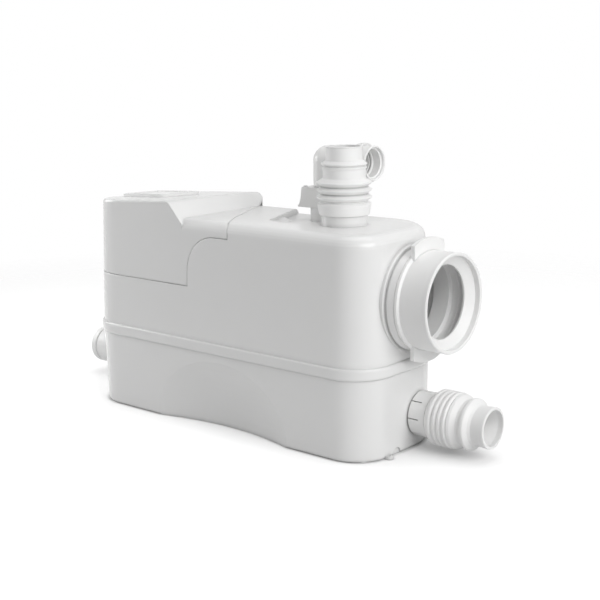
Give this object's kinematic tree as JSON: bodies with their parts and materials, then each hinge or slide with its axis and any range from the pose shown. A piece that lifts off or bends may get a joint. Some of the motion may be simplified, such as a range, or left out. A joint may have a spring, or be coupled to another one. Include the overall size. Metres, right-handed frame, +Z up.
{
  "type": "sewage lifting unit",
  "caption": "Floor-standing macerator lifting unit with a lift-off motor cover, a pan inlet, side and top sink inlets with sleeves, and a turning discharge elbow.",
  "frame": {"origin": "middle of the casing's plan, on the floor", "axes": "+X along the casing to the pan inlet's end, +Y to the wall behind, +Z up"},
  "size_m": [0.6386, 0.176, 0.336],
  "materials": {
    "shell_white": "smooth glossy white moulded plastic",
    "plate_white": "bare glossy white plate",
    "fitting_white": "white moulded fittings",
    "sleeve_rubber": "soft white rubber with a satin sheen",
    "seal_rubber": "black rubber",
    "black_plastic": "fine-grained black plastic",
    "pump_plastic": "grey glass-filled plastic",
    "steel": "brushed stainless steel",
    "motor_steel": "drawn zinc-plated steel",
    "cast_alloy": "sand-cast aluminium",
    "lamination": "stacked electrical steel",
    "copper_wire": "lacquered copper wire"
  },
  "bodies": {
    "casing": {"tank": "shell_white", "tank_gasket": "seal_rubber", "housing": "shell_white", "casing_screws": "steel", "foot_pads": "seal_rubber", "pan_sleeve": "sleeve_rubber", "right_collar": "fitting_white", "right_sleeve": "sleeve_rubber", "right_flap_pin": "steel", "left_collar": "fitting_white", "left_flap_pin": "steel", "top_sleeve": "sleeve_rubber", "valve_housing": "fitting_white", "valve_screws": "steel", "discharge_flap_pin": "steel", "riser_pipe": "pump_plastic", "riser_coupling": "seal_rubber", "pump_bracket": "cast_alloy", "bracket_gasket": "seal_rubber", "bracket_screws": "steel", "pump_chamber": "pump_plastic", "cutter_ring": "steel", "shaft_seal": "black_plastic", "lower_bearing": "steel", "upper_bearing": "steel", "stator": "lamination", "windings": "copper_wire", "motor_can": "motor_steel", "end_bracket": "cast_alloy", "motor_bolts": "steel", "dip_tube": "pump_plastic", "switch_capsule": "black_plastic", "microswitch": "black_plastic", "control_module": "black_plastic", "capacitor": "motor_steel", "terminal_block": "fitting_white", "filter_cartridge": "black_plastic", "filter_cap": "fitting_white", "cable_gland": "black_plastic"},
    "lift_off_cover": {"motor_cover": "shell_white", "cover_plate": "plate_white"},
    "blanking_plug": {"left_plug": "sleeve_rubber"},
    "right_inlet_flap": {"right_flap": "seal_rubber"},
    "left_inlet_flap": {"left_flap": "seal_rubber"},
    "outlet_flap": {"discharge_flap": "seal_rubber"},
    "swivel_outlet": {"discharge_elbow": "fitting_white", "outlet_hose": "sleeve_rubber", "hose_clamp": "fitting_white"},
    "pump_rotor": {"pump_shaft": "steel", "rotor": "lamination", "impeller": "pump_plastic", "cutter": "steel"},
    "level_plunger": {"switch_plunger": "fitting_white"}
  },
  "joints": [
    {"name": "pump_spin", "type": "hinge", "parent": "casing", "child": "pump_rotor", "pos_m": [-0.112, 0.002, 0], "axis": [0, 0, 1], "continuous": true},
    {"name": "outlet_swivel", "type": "hinge", "parent": "casing", "child": "swivel_outlet", "pos_m": [0.067, 0.053, 0.3123], "axis": [0, 0, 1], "range_deg": [0, 180]},
    {"name": "cover_lift", "type": "slide", "parent": "casing", "child": "lift_off_cover", "axis": [0, 0, 1], "range_m": [0, 0.12]},
    {"name": "plug_pull", "type": "slide", "parent": "casing", "child": "blanking_plug", "axis": [-1, 0, 0], "range_m": [0, 0.03]},
    {"name": "right_flap_swing", "type": "hinge", "parent": "casing", "child": "right_inlet_flap", "pos_m": [0.21045, 0.02, 0.064], "axis": [0, 1, 0], "range_deg": [0, 50]},
    {"name": "left_flap_swing", "type": "hinge", "parent": "casing", "child": "left_inlet_flap", "pos_m": [-0.21045, 0.02, 0.064], "axis": [0, -1, 0], "range_deg": [0, 50]},
    {"name": "outlet_flap_swing", "type": "hinge", "parent": "casing", "child": "outlet_flap", "pos_m": [0.0515, 0.053, 0.26255], "axis": [0, -1, 0], "range_deg": [0, 50]},
    {"name": "level_plunger_travel", "type": "slide", "parent": "casing", "child": "level_plunger", "axis": [0, 0, 1], "range_m": [0, 0.0015], "stiffness_N_per_m": 120}
  ]
}
